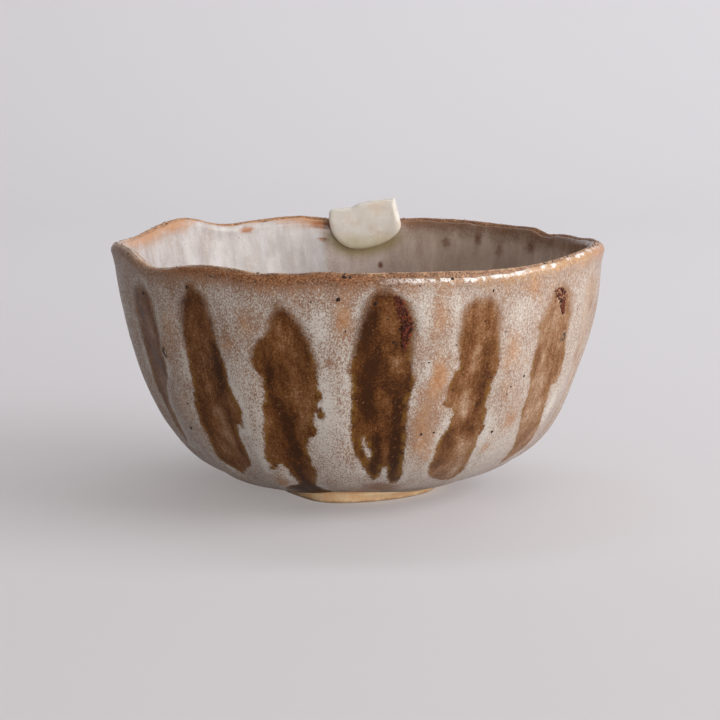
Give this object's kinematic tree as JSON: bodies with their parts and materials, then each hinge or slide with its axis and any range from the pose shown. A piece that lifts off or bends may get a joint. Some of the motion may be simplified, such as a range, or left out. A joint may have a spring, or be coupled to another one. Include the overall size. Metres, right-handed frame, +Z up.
{
  "type": "tea bowl",
  "caption": "Hand-pinched stoneware tea bowl with a wavy bare lip, fluted glazed wall, brushed brown strokes, low foot ring and a small porcelain tab pressed over the lip.",
  "frame": {"origin": "on the table under the middle of the bowl's outline", "axes": "+Z up out of the bowl; -Y towards the side seen in the picture; the porcelain tab is on the +Y side of the lip"},
  "size_m": [0.1268, 0.1272, 0.0698],
  "materials": {
    "bare_clay": "toasted brown stoneware, dry and speckled",
    "foot_clay": "tan unglazed stoneware, matt",
    "outer_glaze": "milky white glaze with tan blushes and brown brush strokes, glossy",
    "inner_glaze": "milky white glaze with brown specks, glossy",
    "porcelain": "white glazed porcelain, glossy"
  },
  "bodies": {
    "root": {"clay_body": "bare_clay", "foot_ring": "foot_clay", "outer_glaze": "outer_glaze", "inner_glaze": "inner_glaze", "rim_tab": "porcelain"}
  },
  "joints": []
}
